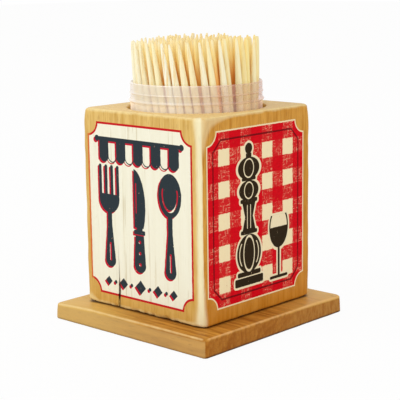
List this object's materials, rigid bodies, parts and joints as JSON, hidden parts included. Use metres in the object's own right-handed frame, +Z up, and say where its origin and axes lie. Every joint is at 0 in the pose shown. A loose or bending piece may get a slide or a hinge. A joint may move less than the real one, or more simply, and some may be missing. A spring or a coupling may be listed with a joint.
{
  "type": "toothpick holder",
  "caption": "Square wooden block on a square plate, bored for a clear plastic jar that holds a leaning bundle of round double-pointed toothpicks.",
  "frame": {"origin": "centre of the underside of the base plate", "axes": "+Z up, sides of plate and block square to X and Y; the label print is on the -Y face of the block and the check print on its +X face"},
  "size_m": [0.0612, 0.0612, 0.0847],
  "materials": {
    "plate_wood": "stained and satin varnished, worn along the edges",
    "block_wood": "satin varnished, printed on two faces, worn along the edges",
    "screw_steel": "zinc plated",
    "clear_plastic": "clear moulded plastic",
    "pick_wood": "raw turned birch"
  },
  "bodies": {
    "base": {"base_plate": "plate_wood", "block": "block_wood", "base_screws": "screw_steel"},
    "jar": {"jar": "clear_plastic"},
    "pick_bundle": {"toothpick_02": "pick_wood", "toothpick_03": "pick_wood", "toothpick_04": "pick_wood", "toothpick_05": "pick_wood", "toothpick_06": "pick_wood", "toothpick_07": "pick_wood", "toothpick_09": "pick_wood", "toothpick_10": "pick_wood", "toothpick_11": "pick_wood", "toothpick_12": "pick_wood", "toothpick_13": "pick_wood", "toothpick_14": "pick_wood", "toothpick_16": "pick_wood", "toothpick_17": "pick_wood", "toothpick_18": "pick_wood", "toothpick_19": "pick_wood", "toothpick_20": "pick_wood", "toothpick_21": "pick_wood", "toothpick_23": "pick_wood", "toothpick_24": "pick_wood", "toothpick_25": "pick_wood", "toothpick_26": "pick_wood", "toothpick_27": "pick_wood", "toothpick_28": "pick_wood", "toothpick_30": "pick_wood", "toothpick_31": "pick_wood", "toothpick_32": "pick_wood", "toothpick_33": "pick_wood", "toothpick_34": "pick_wood", "toothpick_35": "pick_wood", "toothpick_37": "pick_wood", "toothpick_38": "pick_wood", "toothpick_39": "pick_wood", "toothpick_40": "pick_wood", "toothpick_41": "pick_wood", "toothpick_42": "pick_wood", "toothpicks_inner_ring_1": "pick_wood", "toothpicks_inner_ring_2": "pick_wood", "toothpicks_inner_ring_3": "pick_wood", "toothpicks_inner_ring_4": "pick_wood", "toothpicks_inner_ring_5": "pick_wood"},
    "single_toothpick_01": {"toothpick_01": "pick_wood"},
    "single_toothpick_08": {"toothpick_08": "pick_wood"},
    "single_toothpick_15": {"toothpick_15": "pick_wood"},
    "single_toothpick_22": {"toothpick_22": "pick_wood"},
    "single_toothpick_29": {"toothpick_29": "pick_wood"},
    "single_toothpick_36": {"toothpick_36": "pick_wood"}
  },
  "joints": [
    {"name": "jar_lift", "type": "slide", "parent": "base", "child": "jar", "axis": [0, 0, 1], "range_m": [0, 0.06]},
    {"name": "bundle_lift", "type": "slide", "parent": "jar", "child": "pick_bundle", "axis": [0, 0, 1], "range_m": [0, 0.06]},
    {"name": "toothpick_01_pull", "type": "slide", "parent": "pick_bundle", "child": "single_toothpick_01", "axis": [-0.0284, 0.1589, 0.9869], "range_m": [0, 0.068]},
    {"name": "toothpick_08_pull", "type": "slide", "parent": "pick_bundle", "child": "single_toothpick_08", "axis": [-0.1415, 0.0474, 0.9888], "range_m": [0, 0.068]},
    {"name": "toothpick_15_pull", "type": "slide", "parent": "pick_bundle", "child": "single_toothpick_15", "axis": [-0.1054, -0.0998, 0.9894], "range_m": [0, 0.068]},
    {"name": "toothpick_22_pull", "type": "slide", "parent": "pick_bundle", "child": "single_toothpick_22", "axis": [0.0161, -0.1248, 0.9921], "range_m": [0, 0.068]},
    {"name": "toothpick_29_pull", "type": "slide", "parent": "pick_bundle", "child": "single_toothpick_29", "axis": [0.0724, -0.0157, 0.9972], "range_m": [0, 0.068]},
    {"name": "toothpick_36_pull", "type": "slide", "parent": "pick_bundle", "child": "single_toothpick_36", "axis": [0.0764, 0.076, 0.9942], "range_m": [0, 0.068]}
  ]
}
